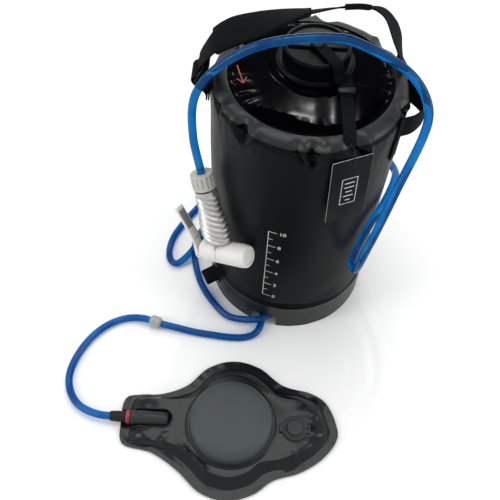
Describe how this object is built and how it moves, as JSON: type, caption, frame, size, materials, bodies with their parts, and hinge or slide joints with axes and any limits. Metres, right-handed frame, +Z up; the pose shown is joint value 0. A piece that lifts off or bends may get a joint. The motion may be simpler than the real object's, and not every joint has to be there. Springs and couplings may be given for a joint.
{
  "type": "camp shower bag",
  "caption": "Standing drum-shaped water bag with a screw cap, carrying strap, foot pump and a long hose to a trigger shower head.",
  "frame": {"origin": "centre of the bag's base, on the ground", "axes": "+Z up along the bag's axis; -Y towards the pump and the pictured front; +X to the right in that view"},
  "size_m": [0.4442, 0.5724, 0.4962],
  "materials": {
    "bag_sheet": "soft satin coated sheet",
    "strap_webbing": "matte woven webbing",
    "black_plastic": "satin moulded",
    "seal_rubber": "matte",
    "pale_plastic": "satin moulded",
    "grey_plastic": "satin moulded",
    "steel": "plain drawn wire and rod",
    "pump_sheet": "satin coated sheet",
    "pump_dome": "matte moulded",
    "valve_plastic": "satin moulded",
    "red_plastic": "gloss moulded",
    "blue_hose": "gloss see-through vinyl tube",
    "clear_plastic": "clear moulded",
    "tag_card": "coated card"
  },
  "bodies": {
    "shower_set": {"base_panel": "bag_sheet", "base_skirt": "bag_sheet", "bag_wall": "bag_sheet", "wall_seam_tape": "bag_sheet", "rim_hem": "bag_sheet", "top_panel": "bag_sheet", "neck_collar": "black_plastic", "leash_slider": "black_plastic", "leash_lower": "strap_webbing", "outlet_elbow": "black_plastic", "outlet_washer": "seal_rubber", "outlet_nut": "black_plastic", "inlet_elbow": "black_plastic", "inlet_washer": "seal_rubber", "inlet_nut": "black_plastic", "handle_webbing": "strap_webbing", "handle_sleeve": "strap_webbing", "handle_keeper": "strap_webbing", "handle_ring": "black_plastic", "handle_anchor": "strap_webbing", "side_loop": "strap_webbing", "loop_tail": "strap_webbing", "lower_tab": "strap_webbing", "tag_cord": "strap_webbing", "head_body": "pale_plastic", "hand_grip": "pale_plastic", "lever_pin": "steel", "hose_barb": "black_plastic", "nut_washer": "seal_rubber", "pump_base_skin": "pump_sheet", "pump_top_skin": "pump_sheet", "dome_ring": "pump_sheet", "outlet_valve_body": "valve_plastic", "outlet_ring": "red_plastic", "hose_sleeve": "black_plastic", "plug_seat": "valve_plastic", "shower_hose": "blue_hose", "pump_hose_rear": "blue_hose", "pump_hose_front": "blue_hose", "check_valve_body": "clear_plastic"},
    "cap_strap": {"cap_button": "black_plastic", "leash_upper": "strap_webbing"},
    "cap": {"filler_cap": "black_plastic", "cap_gasket": "seal_rubber"},
    "tag": {"hang_tag": "tag_card"},
    "dome": {"pump_dome": "pump_dome", "pressure_plate": "black_plastic", "return_spring": "steel"},
    "plug": {"plug_cap": "valve_plastic"},
    "intake_valve": {"intake_flap": "seal_rubber"},
    "outlet_valve": {"outlet_flap": "seal_rubber"},
    "one_way_valve": {"check_valve_disc": "seal_rubber"},
    "lever": {"trigger_lever": "grey_plastic"},
    "stem": {"valve_stem": "steel", "valve_seal": "seal_rubber", "valve_spring": "steel"},
    "nozzle": {"nozzle_collar": "pale_plastic", "spray_plate": "grey_plastic"},
    "union_nut": {"hose_nut": "pale_plastic"}
  },
  "joints": [
    {"name": "cap_turn", "type": "hinge", "parent": "cap_strap", "child": "cap", "pos_m": [0.005, 0.028, 0.4], "axis": [0, 0, 1], "range_deg": [0, 1080]},
    {"name": "cap_rise", "type": "slide", "parent": "shower_set", "child": "cap_strap", "axis": [0, 0, 1], "range_m": [0, 0.0128], "deforming": ["leash_upper"]},
    {"name": "tag_swing", "type": "hinge", "parent": "shower_set", "child": "tag", "pos_m": [0.04836, -0.10862, 0.37], "axis": [-0.9135, -0.4067, 0], "range_deg": [-4, 12]},
    {"name": "dome_press", "type": "slide", "parent": "shower_set", "child": "dome", "axis": [0, 0, -1], "range_m": [0, 0.018], "stiffness_N_per_m": 900, "springref_m": -0.002, "deforming": ["pump_dome", "return_spring"]},
    {"name": "plug_flip", "type": "hinge", "parent": "shower_set", "child": "plug", "pos_m": [-0.003, -0.2843, 0.0177], "axis": [0, -1, 0], "range_deg": [0, 95]},
    {"name": "intake_open", "type": "slide", "parent": "shower_set", "child": "intake_valve", "axis": [0, 0, -1], "range_m": [0, 0.002], "stiffness_N_per_m": 15, "springref_m": -0.001},
    {"name": "outlet_open", "type": "slide", "parent": "shower_set", "child": "outlet_valve", "axis": [-1, 0, 0], "range_m": [0, 0.0015], "stiffness_N_per_m": 15, "springref_m": -0.001},
    {"name": "one_way_open", "type": "slide", "parent": "shower_set", "child": "one_way_valve", "axis": [0.9645, -0.2641, 0], "range_m": [0, 0.0015], "stiffness_N_per_m": 15, "springref_m": -0.001},
    {"name": "lever_squeeze", "type": "hinge", "parent": "shower_set", "child": "lever", "pos_m": [-0.12429, -0.09269, 0.14693], "axis": [0.4833, 0.8506, -0.2072], "range_deg": [0, 16], "stiffness_Nm_per_rad": 0.12, "springref_deg": -5.73},
    {"name": "stem_push", "type": "slide", "parent": "shower_set", "child": "stem", "axis": [0.8446, -0.3908, 0.3658], "range_m": [0, 0.0026]},
    {"name": "nozzle_turn", "type": "hinge", "parent": "shower_set", "child": "nozzle", "pos_m": [-0.0968, -0.1032, 0.1679], "axis": [0.8446, -0.3908, 0.3658], "range_deg": [0, 180]},
    {"name": "union_nut_turn", "type": "hinge", "parent": "shower_set", "child": "union_nut", "pos_m": [-0.11982, -0.06802, 0.25863], "axis": [-0.2302, 0.3518, 0.9073], "range_deg": [0, 360]}
  ],
  "couplings": [
    {"joint": "cap_rise", "follows": "cap_turn", "m_per_rad": 0.000676},
    {"joint": "stem_push", "follows": "lever_squeeze", "m_per_rad": 0.009}
  ]
}
